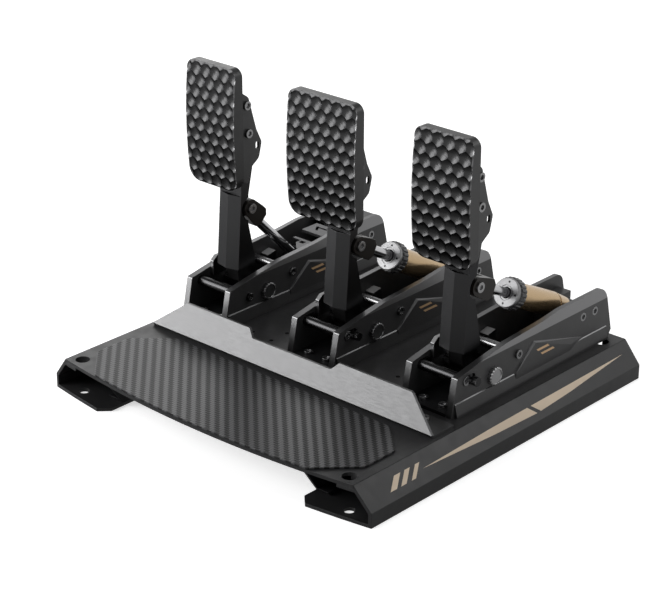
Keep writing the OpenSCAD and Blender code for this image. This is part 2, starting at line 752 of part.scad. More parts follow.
// Screws through the bracket's web into the pad: each child is drawn along +Y from its place at y0
module at_pad_screws(y0) for (z = pad_screw_zs) translate([0, y0, z]) rotate([-90, 0, 0]) children();

// Pad bracket: a channel whose web carries the pad and whose sides hold the arm's head
function bracket_slot_corner(y, z, r) = [bracket_slot[0] + y, bracket_slot[1] + z, r];
bracket_outline = rounded([
    [pad_back, bracket_slot[1] - 22, 0], bracket_slot_corner(-12, -33, 2), bracket_slot_corner(-8.6, -19, 6),
    bracket_slot_corner(2, -12, 6), bracket_slot_corner(5.6, 2, 6), bracket_slot_corner(-0.8, 15, 8),
    [axle_y - 9, arm_top_z, 6], [axle_y - 19, arm_top_z + 7, 3], [pad_back, arm_top_z + 7, 0]
]);
module pad_bracket(u) color(black) in_unit(u) difference() {
    plate(bracket_outline, -bracket_out, bracket_out);
    translate([-bracket_in, pad_back + bracket_t, 0]) cube([2 * bracket_in, 2 * pad_fore, 2 * arm_top_z]);
    for (p = bracket_screws) across(p, screw_hole_d, -bracket_out - 1, bracket_out + 1);
    for (z = [-1.5, 0, 1.5]) across(bracket_slot + [0, z], screw_d, -bracket_out - 1, bracket_out + 1);
    at_pad_screws(pad_back - 1) cylinder(d = screw_hole_d, h = bracket_t + 2);
}
module clutch_pad_bracket() pad_bracket(clutch);
module brake_pad_bracket() pad_bracket(brake);
module throttle_pad_bracket() pad_bracket(throttle);

// Pad: a slab whose face is crowned from top to foot
crown_r = ((pad_h / 2) * (pad_h / 2) + pad_crown * pad_crown) / (2 * pad_crown);
crown_axis = [pad_back - pad_edge_t - pad_crown + crown_r, pad_z + pad_h / 2];
module pad(u, w) color(dark) in_unit(u) difference() {
    intersection() {
        bar(rounded([
            [-w / 2, pad_z, pad_foot_r], [w / 2, pad_z, pad_foot_r],
            [w / 2, pad_z + pad_h, pad_top_r], [-w / 2, pad_z + pad_h, pad_top_r]
        ]), pad_back - 40, pad_back);
        across(crown_axis, 2 * crown_r, -w, w, $fn = arc_fn);
    }
    at_pad_screws(pad_back - grip) cylinder(d = screw_hole_d, h = grip + 1);
}
module clutch_pad() pad(clutch, clutch_pad_w);
module brake_pad() pad(brake, brake_pad_w);
module throttle_pad() pad(throttle, throttle_pad_w);

module pad_screws(u) color(steel) in_unit(u) {
    for (s = sides, p = bracket_screws) side_screw(s, p, bracket_out, bracket_t + side_gap + grip);
    at_pad_screws(pad_back + bracket_t) screw(bracket_t + grip - 1);
}
module clutch_pad_screws() pad_screws(clutch);
module brake_pad_screws() pad_screws(brake);
module throttle_pad_screws() pad_screws(throttle);

// Clevis pin, with a head at each end
pin_head_d = 9;
pin_head_t = 2;
pin_end = clevis_w / 2 + pin_head_t;
module clevis_pin(u) color(steel) in_unit(u) {
    across(pin, pin_d, -clevis_w / 2, clevis_w / 2);
    both_sides() difference() {
        across(pin, pin_head_d, clevis_w / 2, pin_end);
        across(pin, socket_d, pin_end - socket_deep, pin_end + 1, $fn = 6);
    }
}
module clutch_pin() clevis_pin(clutch);
module brake_pin() clevis_pin(brake);
module throttle_pin() clevis_pin(throttle);

// Clevis: two cheeks round the arm's lug and a block that takes the rod
clevis_s = cheek_d / 2 + 4;
clevis_slot = lug_d / 2 + 2;
clevis_chamfer = 4;
module clevis(u, a, rod_d) color(black) in_unit(u) along(a) difference() {
    union() {
        rotate([0, 90, 0]) cylinder(d = cheek_d, h = clevis_w, center = true);
        translate([-clevis_w / 2, 0, 0]) rotate([90, 0, 90]) linear_extrude(clevis_w) polygon([
            [-cheek_d / 2, 0], [cheek_d / 2, 0],
            [clevis_h / 2, clevis_s], [clevis_h / 2, clevis_l - clevis_chamfer],
            [clevis_h / 2 - clevis_chamfer, clevis_l], [-clevis_h / 2 + clevis_chamfer, clevis_l],
            [-clevis_h / 2, clevis_l - clevis_chamfer], [-clevis_h / 2, clevis_s]
        ]);
    }
    translate([-lug_w / 2 - side_gap, -clevis_h, -clevis_h])
        cube([lug_w + 2 * side_gap, 2 * clevis_h, clevis_h + clevis_slot]);
    rotate([0, 90, 0]) cylinder(d = pin_d + 2 * fit, h = clevis_w + 2, center = true);
    rod(rod_d + 2 * fit, clevis_l - rod_seat, clevis_l + 1);
}
module clutch_clevis() clevis(clutch, slider_a, clutch_rod_d);
module brake_clevis() clevis(brake, cylinder_a(brake), brake_rod_d);
module throttle_clevis() clevis(throttle, cylinder_a(throttle), throttle_rod_d);

// Rod with its lock nut. The brake and throttle rods end in a piston.
module push_rod(u, a, d, end) color(steel) in_unit(u) along(a) {
    rod(d, clevis_l - rod_seat, end);
    difference() {
        rod(nut_af / cos(30), clevis_l, clevis_l + nut_t, $fn = 6);
        rod(d + 2 * fit, clevis_l - 1, clevis_l + nut_t + 1);
    }
}
module piston(u) color(steel) in_unit(u) along(cylinder_a(u))
    rod(cylinder_bore_d - 2 * rod_gap, piston_s, piston_s + piston_t);
module clutch_rod() push_rod(clutch, slider_a, clutch_rod_d, slider_rod_end);
module brake_rod() {
    push_rod(brake, cylinder_a(brake), brake_rod_d, piston_s);
    piston(brake);
}
module throttle_rod() {
    push_rod(throttle, cylinder_a(throttle), throttle_rod_d, piston_s);
    piston(throttle);
}

// Adjuster: a disc with finger holes and the knurled collar that screws over the cylinder
finger_d = 1.8;
finger_deep = 1.5;
finger_r = disc_d * 0.37;
module adjuster(u, rod_d) color(satin) in_unit(u) along(cylinder_a(u)) {
    difference() {
        rod(disc_d, adjuster_s, adjuster_s + disc_t);
        rod(rod_d + 2 * rod_gap, adjuster_s - 1, adjuster_s + disc_t + 1);
        for (i = [0 : 3]) rotate([0, 0, 90 * i]) translate([finger_r, 0, 0])
            rod(finger_d, adjuster_s - 1, adjuster_s + finger_deep);
    }
    difference() {
        rod(collar_d, adjuster_s + disc_t, adjuster_s + disc_t + collar_l);
        rod(cylinder_d + 2 * side_gap, adjuster_s + disc_t - 1, adjuster_s + disc_t + collar_l + 1);
    }
}
module brake_adjuster() adjuster(brake, brake_rod_d);
module throttle_adjuster() adjuster(throttle, throttle_rod_d);

// Cylinder: a closed tube with a groove before its tapered end, and a lid that guides the rod
function groove_s(u) = cylinder_end(u) - 19;
groove_l = 2.6;
groove_d = cylinder_d - 3;
end_d = cylinder_d - 1;
end_taper = 3;
module spring_cylinder(u, rod_d) color(gold) in_unit(u) along(cylinder_a(u)) difference() {
    union() {
        rod(cylinder_d, cylinder_s, groove_s(u));
        rod(groove_d, groove_s(u) - 1, groove_s(u) + groove_l + 1);
        translate([0, 0, groove_s(u) + groove_l])
            cylinder(d1 = end_d, d2 = end_d - end_taper, h = cylinder_end(u) - groove_s(u) - groove_l);
    }
    rod(rod_d + 2 * rod_gap, cylinder_s - 1, cylinder_s + lid_t + 1);
    rod(cylinder_bore_d, cylinder_s + lid_t, cylinder_end(u) - end_wall);
    rod(eye_stud_d + 2 * fit, cylinder_end(u) - eye_stud_l, cylinder_end(u) + 1);
}
module brake_cylinder() spring_cylinder(brake, brake_rod_d);
module throttle_cylinder() spring_cylinder(throttle, throttle_rod_d);

// Eye at the rear end of a cylinder
eye_stud_d = 8;
eye_stud_l = 6;
module at_eye(u) translate([0, 0, cylinder_l(u)]) rotate([0, 90, 0]) children();
module eye(u) color(dark) in_unit(u) along(cylinder_a(u)) difference() {
    union() {
        at_eye(u) cylinder(d = eye_d, h = eye_w, center = true);
        rod(eye_w, cylinder_end(u), cylinder_l(u));
        rod(eye_stud_d, cylinder_end(u) - eye_stud_l, cylinder_end(u) + 1);
    }
    at_eye(u) cylinder(d = pivot_d + 2 * fit, h = eye_w + 2, center = true);
}
module brake_eye() eye(brake);
module throttle_eye() eye(throttle);

// What the pistons press on: a stack of rubber pucks in the brake, a spring in the throttle
load_s = piston_s + piston_t + fit;
load_d = cylinder_bore_d - 1;
function load_end(u) = cylinder_end(u) - end_wall - fit;
puck_n = 3;
washer_t = 1;
puck_t = (load_end(brake) - load_s - (puck_n - 1) * washer_t) / puck_n;
puck_pitch = puck_t + washer_t;
module brake_elastomer() color("#7a3b30") in_unit(brake) along(cylinder_a(brake)) {
    for (i = [0 : puck_n - 1]) rod(load_d, load_s + i * puck_pitch, load_s + i * puck_pitch + puck_t);
    rod(load_d - 3, load_s + puck_t / 2, load_end(brake) - puck_t / 2);
}
module throttle_spring() color(steel) in_unit(throttle) along(cylinder_a(throttle)) difference() {
    rod(load_d, load_s, load_end(throttle));
    rod(load_d - 4, load_s - 1, load_end(throttle) + 1);
}

// Rear block: a fork whose pin carries the cylinder's eye. In the brake it is the load cell.
block_front = pivot_y - 19;
block_rear = pivot_y + 17;
block_top = deck_top + block_h;
fork_w = eye_w + 2 * side_gap;
fork_foot = 2;
module rear_fork(u) difference() {
    union() {
        difference() {
            translate([-inner, block_front, floor_top])
                cube([2 * inner, block_rear - block_front, block_top - floor_top]);
            translate([-fork_w / 2, block_front - 1, pivot(u)[1] - eye_d / 2 - fork_foot])
                cube([fork_w, block_rear - block_front + 2, 2 * eye_d]);
            translate([-cylinder_d / 2 - 1, block_front - 1, pivot(u)[1] - eye_d / 2 - fork_foot])
                cube([cylinder_d + 2, pivot_y - eye_d / 4 - block_front, 2 * eye_d]);
        }
        across(pivot(u), pivot_d, -fork_w / 2 - 1, fork_w / 2 + 1);
    }
    both_sides() for (y = rear_screw_ys) across([y, rear_screw_z], screw_hole_d, inner - grip - 1, inner + 1);
}
module throttle_rear_block() color(black) in_unit(throttle) rear_fork(throttle);

// The load cell has a waist that bends under load.
waist_d = 3;
waist_inset = 8;
module brake_load_cell() color(satin) in_unit(brake) difference() {
    rear_fork(brake);
    for (y = [block_front + waist_inset, block_rear - waist_inset])
        across([y, floor_top + waist_d], waist_d, -inner - 1, inner + 1);
}

// Clutch slider: a tube in which the rod runs, turning on two studs in the side plates
slider_block = 16;
module clutch_slider() color(dark) in_unit(clutch) along(slider_a) difference() {
    union() {
        rod(slider_d, slider_l - slider_reach, slider_l + slider_block / 2);
        translate([-slider_block / 2, -slider_block / 2, slider_l - slider_block / 2]) cube(slider_block);
        for (s = sides) translate([0, 0, slider_l]) rotate([0, s * 90, 0]) {
            cylinder(d = pivot_d, h = outer);
            cylinder(d = pivot_d + 4, h = inner - side_gap);
        }
    }
    rod(clutch_rod_d + 2 * rod_gap, slider_l - slider_reach - 1, slider_l + slider_block);
}

// Clutch return spring, wound round the right spacer
module clutch_spring() color(steel) in_unit(clutch) difference() {
    across([axle_y, axle_z], spacer_d + 6, hub_w / 2 + 2 * side_gap, inner - side_gap);
    across([axle_y, axle_z], spacer_d + 2 * side_gap, 0, outer);
}

// Clutch bridge: a slotted plate on the right side plate, a cover over the rear of the channel on two feet,
// and a small plate with a window beside the rod
bridge_t = 3;
bridge_top = deck_top + plate_h_rear - 1.2;
bridge_foot = bridge_top - bridge_t;
bridge_front = slider_y + 4.5;
bridge_l = 20;
bridge_in = -4;
slit_w = 2.5;
cover_front = bridge_front + bridge_l + 12;
cover_rear = unit_rear - 14;
cover_hole_d = 5;
foot_w = 9;
window = [5.5, 5];
window_top = slider[1] + 26;
window_t = 2;
window_rear = slider_y - 5.5;
strip_w = 3.2;
module clutch_bridge() color(satin) in_unit(clutch) {
    difference() {
        translate([bridge_in, bridge_front, bridge_foot]) cube([inner - bridge_in, bridge_l, bridge_t]);
        translate([3, bridge_front + 12, bridge_foot - 1]) cube([12, slit_w, bridge_t + 2]);
        translate([1.5, bridge_front + 13.5, bridge_foot - 1]) rotate([0, 0, -55])
            cube([9, slit_w, bridge_t + 2]);
    }
    difference() {
        translate([-inner, cover_front, bridge_foot]) cube([2 * inner, cover_rear - cover_front, bridge_t]);
        for (s = sides, y = rear_screw_ys)
            hole_down([s * (inner - 8), y], cover_hole_d, bridge_foot - 1, bridge_top + 1);
    }
    translate([0, 0, window_top - window_t]) linear_extrude(window_t) difference() {
        polygon([
            [-3, window_rear - strip_w], [-3, window_rear], [inner, window_rear], [inner, window_rear - 20],
            [inner - 4, window_rear - 20], [7, window_rear - 10], [7, window_rear - strip_w]
        ]);
        translate([8.5, window_rear - 8.5]) square(window);
    }
    both_sides() difference() {
        translate([inner - foot_w, block_front, floor_top])
            cube([foot_w, block_rear - block_front, bridge_foot - floor_top]);
        for (y = rear_screw_ys) across([y, rear_screw_z], screw_hole_d, inner - grip - 1, inner + 1);
    }
}

deck();
rail_left();
rail_right();
rail_webs();
footrest_mat();
heel_plate();
frame_screws();
controller_box();
clutch_side_left();
clutch_side_right();
clutch_floor();
clutch_axle();
clutch_tie_bars();
clutch_sensor();
clutch_spring();
clutch_bridge();
clutch_arm();
clutch_pad_bracket();
clutch_pad();
clutch_pad_screws();
clutch_pin();
clutch_clevis();
clutch_rod();
clutch_slider();
brake_side_left();
brake_side_right();
brake_floor();
brake_axle();
brake_tie_bars();
brake_sensor();
brake_load_cell();
brake_arm();
brake_pad_bracket();
brake_pad();
brake_pad_screws();
brake_pin();
brake_clevis();
brake_rod();
brake_adjuster();
brake_cylinder();
brake_eye();
brake_elastomer();
throttle_side_left();
throttle_side_right();
throttle_floor();
throttle_axle();
throttle_tie_bars();
throttle_sensor();
throttle_rear_block();
throttle_arm();
throttle_pad_bracket();
throttle_pad();
throttle_pad_screws();
throttle_pin();
throttle_clevis();
throttle_rod();
throttle_adjuster();
throttle_cylinder();
throttle_eye();
throttle_spring();
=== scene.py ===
"""Looks of the sim racing pedal set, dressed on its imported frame.

The scene is in metres, with +X to the right, +Y away from the driver and +Z up. Sizes in this file are in
millimetres unless a comment says otherwise, and MM takes them to metres.
"""

import json
import math

import bmesh
import bpy
import numpy as np
from mathutils import Matrix, Vector


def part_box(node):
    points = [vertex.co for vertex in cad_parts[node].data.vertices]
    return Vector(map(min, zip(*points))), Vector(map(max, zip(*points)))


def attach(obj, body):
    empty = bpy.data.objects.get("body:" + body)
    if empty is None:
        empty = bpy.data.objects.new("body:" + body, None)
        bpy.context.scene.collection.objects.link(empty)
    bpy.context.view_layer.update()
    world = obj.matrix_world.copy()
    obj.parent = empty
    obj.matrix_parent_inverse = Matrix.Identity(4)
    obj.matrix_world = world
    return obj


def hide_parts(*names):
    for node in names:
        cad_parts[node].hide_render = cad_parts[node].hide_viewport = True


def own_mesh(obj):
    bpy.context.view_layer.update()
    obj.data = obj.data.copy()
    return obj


MM = 0.001
ORIGIN_Y = -172.75  # the rails' front corners, from the part's origin between the mounting bolts
UNITS = ("clutch", "brake", "throttle")
SIDES = ((-1, "left"), (1, "right"))

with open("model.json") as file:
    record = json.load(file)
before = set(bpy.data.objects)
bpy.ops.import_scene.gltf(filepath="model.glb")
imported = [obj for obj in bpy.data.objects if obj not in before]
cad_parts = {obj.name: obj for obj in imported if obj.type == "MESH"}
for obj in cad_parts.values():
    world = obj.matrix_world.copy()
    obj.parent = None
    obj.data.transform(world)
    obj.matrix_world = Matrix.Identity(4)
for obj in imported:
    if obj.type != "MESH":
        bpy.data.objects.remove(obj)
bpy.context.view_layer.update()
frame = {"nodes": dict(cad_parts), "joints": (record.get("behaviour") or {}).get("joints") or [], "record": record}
NODE_BODY = {n: b for b, ns in frame["record"]["behaviour"]["bodies"].items() for n in ns}


# Camera, fitted to the photograph
PHOTO_W, FOCAL = 650, 2125.27  # pixels
SENSOR_W = 36
EYE = Vector((1100.7, -1055.2 + ORIGIN_Y, 814.6))
RIGHT = Vector((0.7378, 0.6750, 0))
UP = Vector((-0.2747, 0.3002, 0.9135))
LOOK = Vector((-0.6166, 0.6740, -0.4069))


def add_camera():
    """The camera that took the photograph, from its fitted place and axes."""
    data = bpy.data.cameras.new("camera")
    data.sensor_width = SENSOR_W
    data.lens = SENSOR_W * FOCAL / PHOTO_W
    data.clip_start, data.clip_end = 0.05, 30  # metres
    camera = bpy.data.objects.new("camera", data)
    bpy.context.scene.collection.objects.link(camera)
    turn = Matrix((RIGHT, UP, -LOOK)).transposed().to_4x4()
    camera.matrix_world = Matrix.Translation(EYE * MM) @ turn
    bpy.context.scene.camera = camera


# Materials
class Tree:
    """Short ways to add nodes to one node tree."""

    def __init__(self, node_tree):
        self.nt = node_tree

    def put(self, socket, value):
        if isinstance(value, bpy.types.NodeSocket):
            self.nt.links.new(value, socket)
        else:
            socket.default_value = value

    def node(self, kind, operation=None, **inputs):
        """Adds a shader node. An input goes by its name with _ for a space, or by i and its number."""
        n = self.nt.nodes.new("ShaderNode" + kind)
        if operation:
            n.operation = operation
        for name, value in inputs.items():
            numbered = name[0] == "i" and name[1:].isdigit()
            self.put(n.inputs[int(name[1:]) if numbered else name.replace("_", " ")], value)
        return n

    def math(self, operation, *values):
        return self.node("Math", operation, **{f"i{k}": value for k, value in enumerate(values)}).outputs[0]

    def ramp(self, value, low, high, to_low, to_high, smooth=False):
        n = self.node("MapRange", Value=value, From_Min=low, From_Max=high, To_Min=to_low, To_Max=to_high)
        if smooth:
            n.interpolation_type = "SMOOTHSTEP"
        return n.outputs["Result"]

    def axes(self, vector):
        return self.node("SeparateXYZ", i0=vector).outputs


class Surface(Tree):
    """A Principled material on object coordinates counted in millimetres."""

    def __init__(self, name, colour, rough, metal=0.0, specular=0.5, coat=0.0, coat_rough=0.1):
        self.mat = bpy.data.materials.new(name)
        self.mat.use_nodes = True
        super().__init__(self.mat.node_tree)
        self.bsdf = self.nt.nodes["Principled BSDF"]
        self.colour = colour
        for socket, value in (
            ("Base Color", (*colour, 1)),
            ("Roughness", rough),
            ("Metallic", metal),
            ("Specular IOR Level", specular),
            ("Coat Weight", coat),
            ("Coat Roughness", coat_rough),
        ):
            self.bsdf.inputs[socket].default_value = value
        place = self.node("TexCoord").outputs["Object"]
        self.mm = self.node("VectorMath", "SCALE", i0=place, Scale=1 / MM).outputs["Vector"]
        self.bump_from = None

    def noise(self, size, stretch=(1, 1, 1), detail=2.0, seed=0.0):
        """Noise with lumps about size across, drawn out along each axis by stretch."""
        place = self.node("Mapping", Vector=self.mm)
        place.inputs["Scale"].default_value = [1 / (size * s) for s in stretch]
        place.inputs["Location"].default_value = (seed, seed * 0.7, -seed)
        return self.node("TexNoise", Vector=place.outputs[0], Scale=1.0, Detail=detail).outputs["Fac"]

    def choose(self, factor, a, b):
        """The number a at factor 0 and b at factor 1."""
        return self.node("Mix", Factor=factor, i2=a, i3=b).outputs[0]

    def tint(self, factor, other):
        """Blends the base colour towards other by factor."""
        now = self.bsdf.inputs["Base Color"]
        n = self.node("Mix")
        n.data_type = "RGBA"
        self.put(n.inputs["Factor"], factor)
        self.put(n.inputs["A"], now.links[0].from_socket if now.is_linked else (*self.colour, 1))
        self.put(n.inputs["B"], (*other, 1))
        self.put(now, n.outputs["Result"])

    def rough(self, noise, low, high):
        """Lets the roughness run from low to high over the middle third of a noise."""
        self.put(self.bsdf.inputs["Roughness"], self.ramp(noise, 0.35, 0.65, low, high))

    def bump(self, height, depth):
        """Adds relief of a depth, where height runs from 0 to 1."""
        n = self.node("Bump", Strength=1.0, Distance=depth * MM, Height=height)
        if self.bump_from:
            self.put(n.inputs["Normal"], self.bump_from)
        self.bump_from = n.outputs["Normal"]
        self.put(self.bsdf.inputs["Normal"], self.bump_from)


def brighter(colour, factor):
    """A colour for the lighter patches of a finish."""
    return [c * factor for c in colour]


def powder_coat(name, colour, rough, specular):
    """Black paint with a fine orange-peel relief."""
    s = Surface(name, colour, rough, specular=specular)
    s.tint(s.noise(60, detail=3), brighter(colour, 1.25))
    s.rough(s.noise(9, detail=4, seed=3), rough - 0.04, rough + 0.05)
    s.bump(s.noise(0.55, detail=3), 0.007)
    return s


def anodised(name, colour, rough, depth, metal=1.0, grain=(1, 1, 1), specular=0.5):
    """Metal or a hard coat, whose relief of a depth is drawn out along each axis by grain."""
    s = Surface(name, colour, rough, metal=metal, specular=specular)
    s.tint(s.noise(35, detail=3), brighter(colour, 1.14))
    s.rough(s.noise(0.9, grain, detail=3, seed=5), rough - 0.03, rough + 0.04)
    s.bump(s.noise(0.3, grain, detail=2, seed=1), depth)
    return s


def moulded(name, colour, rough=0.5, depth=0.02):
    """Plastic or print with a soft, slightly uneven sheen."""
    s = Surface(name, colour, rough, specular=0.4)
    s.tint(s.noise(25, detail=3), brighter(colour, 1.12))
    s.rough(s.noise(2.5, detail=3), rough - 0.05, rough + 0.07)
    s.bump(s.noise(0.45, detail=2), depth)
    return s


def rubber(name, colour):
    """Dull rubber with a grainy skin."""
    s = Surface(name, colour, 0.62, specular=0.3)
    s.tint(s.noise(4), brighter(colour, 1.5))
    s.rough(s.noise(1.2), 0.55, 0.7)
    s.bump(s.noise(0.4), 0.02)
    return s


def heel_satin():
    """Satin metal brushed along x."""
    s = Surface("heel_satin", (0.072, 0.072, 0.073), 0.38, metal=0.9)
    s.tint(s.noise(80, detail=2), (0.085, 0.085, 0.086))
    s.rough(s.noise(0.5, (14, 1, 1), detail=3), 0.36, 0.46)
    s.bump(s.noise(0.22, (30, 1, 1), detail=2), 0.0018)
    return s


def twill():
    """Lacquered two-by-two twill, where each pair of crossings is one step further on the diagonal."""
    pitch = 2.72
    s = Surface("footrest_weave", (0.004, 0.004, 0.0042), 0.34, specular=0.20, coat=0.06, coat_rough=0.2)

    def tow(along):
        """The number of the tow at a place, and a bulge that is highest in its middle."""
        count = s.math("DIVIDE", along, pitch)
        off = s.math("SUBTRACT", s.math("FRACT", count), 0.5)
        fall = s.math("MULTIPLY", s.math("MULTIPLY", off, off), 3.4)
        return s.math("FLOOR", count), s.math("SUBTRACT", 1.0, fall)

    x, y, _ = s.axes(s.mm)
    (column, bulge_x), (row, bulge_y) = tow(x), tow(y)
    over = s.math("LESS_THAN", s.math("FLOORED_MODULO", s.math("ADD", column, row), 4.0), 1.5)
    fibre_x = s.noise(0.18, (1, 22, 1))
    fibre_y = s.noise(0.18, (22, 1, 1), seed=9)
    fibre = s.choose(over, fibre_y, fibre_x)
    s.tint(s.ramp(fibre, 0.3, 0.7, 0, 0.4), (0.022, 0.022, 0.023))
    s.tint(s.math("MULTIPLY", over, 0.9), (0.060, 0.060, 0.062))
    s.put(s.bsdf.inputs["Roughness"], s.ramp(over, 0, 1, 0.42, 0.30))
    s.bump(s.choose(over, bulge_y, bulge_x), 0.10)
    s.bump(fibre, 0.008)
    return s


def build_materials():
    """The finishes by the short names that the pieces use."""
    mats = {
        "deck": powder_coat("deck_black", (0.013, 0.013, 0.0135), 0.36, 0.32),
        "dark": powder_coat("dark_steel", (0.007, 0.007, 0.0075), 0.45, 0.12),
        "unit": powder_coat("unit_black", (0.034, 0.034, 0.0347), 0.33, 0.3),
        # Bare metal of the cut edges, also used as painted highlight on upward plate faces and on the footrest's
        # far edge
        "edge": anodised("edge_metal_and_painted_highlight", (0.13, 0.13, 0.132), 0.32, 0.0004),
        # Lighter than the cut edges: a painted highlight on the side plates' upper bevel
        "bevel": anodised("unit_bevel_painted_highlight", (0.16, 0.16, 0.162), 0.36, 0.0004),
        "arm": anodised("arm_black", (0.040, 0.040, 0.041), 0.34, 0.0006),
        "clevis": anodised("clevis_bronze", (0.014, 0.012, 0.0105), 0.32, 0.0008, metal=0.0, specular=0.15),
        "pad": anodised("pad_black", (0.036, 0.036, 0.0366), 0.28, 0.0008),
        "wall": powder_coat("pad_wall", (0.022, 0.022, 0.0225), 0.32, 0.3),
        # The pad chamfer along the upright sides: lighter metal as painted highlight
        "rim": anodised("pad_chamfer_painted_highlight", (0.12, 0.12, 0.122), 0.34, 0.0012),
        "steel": anodised("bright_steel", (0.20, 0.20, 0.203), 0.26, 0.0006, grain=(6, 1, 1)),
        "bar": anodised("dark_bar", (0.035, 0.035, 0.036), 0.27, 0.0004),
        "cap": anodised("cap_grey", (0.30, 0.30, 0.304), 0.32, 0.0006),
        "disc": anodised("disc_grey", (0.21, 0.21, 0.213), 0.50, 0.0006),
        "bridge": anodised("bridge_grey", (0.066, 0.066, 0.068), 0.34, 0.0006),
        "rod": anodised("rod_steel", (0.40, 0.40, 0.41), 0.14, 0.0004),
        "screw": anodised("screw_steel", (0.18, 0.18, 0.183), 0.2, 0.0006),
        "silver": anodised("silver", (0.23, 0.23, 0.234), 0.30, 0.0012),
        "collar": anodised("collar_black", (0.022, 0.022, 0.023), 0.28, 0.001, metal=0.0),
        "gold": anodised("champagne", (0.42, 0.30, 0.17), 0.23, 0.0, metal=0.85),
        # The sensors' metal, also used for the clutch's and brake's caps as painted shade
        "sensor": anodised("sensor_metal", (0.15, 0.15, 0.153), 0.32, 0.0006),
        "heel": heel_satin(),
        "weave": twill(),
        "puck": rubber("puck_rubber", (0.20, 0.05, 0.035)),
        "block": moulded("block_grey", (0.20, 0.20, 0.202), 0.4, 0.004),
        "plastic": moulded("box_plastic", (0.016, 0.016, 0.017)),
        "gold_print": moulded("gold_print", (0.60, 0.49, 0.37), 0.45, 0.004),
        "brass_print": moulded("brass_print", (0.58, 0.38, 0.21), 0.40, 0.004),
    }
    for name, grey in (("arm", 0.3), ("pad", 0.2)):
        mats[name].bsdf.inputs["Specular Tint"].default_value = (grey, grey, grey, 1)
    return mats


# Mesh helpers
def piece(name, bm, materials, body, replaces=(), smooth_angle=30):
    """Makes an object of bm, whose faces carry numbers of materials, and rides it on a body."""
    me = bpy.data.meshes.new(name)
    bmesh.ops.recalc_face_normals(bm, faces=bm.faces)
    for f in bm.faces:
        f.smooth = True
    limit = math.radians(smooth_angle)
    for e in bm.edges:
        if len(e.link_faces) == 2:
            e.smooth = e.calc_face_angle(0) < limit
    bm.to_mesh(me)
    bm.free()
    o = bpy.data.objects.new(name, me)
    bpy.context.scene.collection.objects.link(o)
    for m in materials:
        me.materials.append(MATS[m].mat)
    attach(o, body)
    if replaces:
        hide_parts(*replaces)
    return o


def centre(node):
    """The middle of a node's box, in metres."""
    low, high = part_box(node)
    return (low + high) / 2


def about_joint(node, joint_name):
    """A joint's axis and pivot, and how far a node's points lie along that axis and out from it."""
    joint = next(j for j in frame["joints"] if j["name"] == joint_name)
    axis, pivot = Vector(joint["axis"]).normalized(), Vector(joint["pos_m"])
    points = np.array([v.co for v in frame["nodes"][node].data.vertices], float) - np.array(pivot)
    along = points @ np.array(axis)
    out = np.linalg.norm(points - np.outer(along, np.array(axis)), axis=1)
    return axis, pivot, along / MM, out / MM


def across(axis):
    """Two directions square to a unit axis and to each other."""
    side = Vector((1, 0, 0)) if abs(axis.x) < 0.9 else Vector((0, 0, 1))
    u = (side - axis * side.dot(axis)).normalized()
    return u, axis.cross(u)


def band(bm, low, high, mat=0):
    """Joins two rings of equally many points by a strip of faces."""
    for k in range(len(low)):
        m = (k + 1) % len(low)
        bm.faces.new((low[k], low[m], high[m], high[k])).material_index = mat


def lathe(bm, profile, origin, axis, count, wave=None, mat=0):
    """Turns points (along, radius) round an axis. wave(angle, ring) gives a factor on the radius."""
    axis = Vector(axis)
    u, v = across(axis)
    rings = []
    for i, (along, radius) in enumerate(profile):
        ring = []
        for k in range(count):
            a = math.tau * k / count
            r = radius * (wave(a, i) if wave else 1)
            ring.append(bm.verts.new(origin + (axis * along + (u * math.cos(a) + v * math.sin(a)) * r) * MM))
        rings.append(ring)
    for low, high in zip(rings, rings[1:]):
        band(bm, low, high, mat)
    return rings


def notches(count, depth, start, run, rings):
    """A wave for lathe that cuts notches into the numbered rings.

    The depth is a share of the radius. From the middle of a land at 0 to the middle of a notch at 1, the cut
    sets in at start and is at full depth after run.
    """

    def wave(angle, ring):
        if ring not in rings:
            return 1
        off = abs((angle * count / math.tau) % 1 - 0.5) * 2
        return 1 - depth * max(0.0, min(1.0, (off - start) / run))

    return wave


def coil(bm, origin, axis, length, radius, wire, turns):
    """A compression spring as one tube, whose end turns lie flat."""
    sides, steps = 10, 28  # of the tube, and along each turn
    flat = 0.06  # share of the turns that lie flat at each end
    u, v = across(axis)
    total = int(turns * steps)
    points = []
    for i in range(total + 1):
        t = i / total
        a = math.tau * turns * t
        rise = wire / 2 + (length - wire) * min(1, max(0, t * (1 + 2 * flat) - flat))
        points.append(origin + (axis * rise + (u * math.cos(a) + v * math.sin(a)) * radius) * MM)
    rings = []
    for i, p in enumerate(points):
        ahead = (points[min(i + 1, total)] - points[max(i - 1, 0)]).normalized()
        out = (p - origin) - axis * (p - origin).dot(axis)
        out.normalize()
        other = ahead.cross(out).normalized()
        ring = []
        for k in range(sides):
            a = math.tau * k / sides
            ring.append(bm.verts.new(p + (out * math.cos(a) + other * math.sin(a)) * wire / 2 * MM))
        rings.append(ring)
    for low, high in zip(rings, rings[1:]):
        band(bm, low, high)
    bm.faces.new(rings[0])
    bm.faces.new(rings[-1])


# Pads: a crowned face of touching round hollows, cut off at a chamfer that is bright along the upright sides as
# painted highlight
CELL = 11.2  # between the flats of one hollow
CELL_STEPS = 7  # steps of the grid along one side of a hollow
BALL_R = 13.0  # of the ball that would cut a hollow
CHAMFER_W, CHAMFER_T = 1.1, 1.0
BACK_CHAMFER = 0.8
TOP_R, FOOT_R = 8.0, 12.0  # corners of the outline
CORNER_CUTS = 12  # steps in which a corner turns
CROWN = 3.6  # the middle of the face over its ends
EDGE_T = 9.4  # thickness at the ends


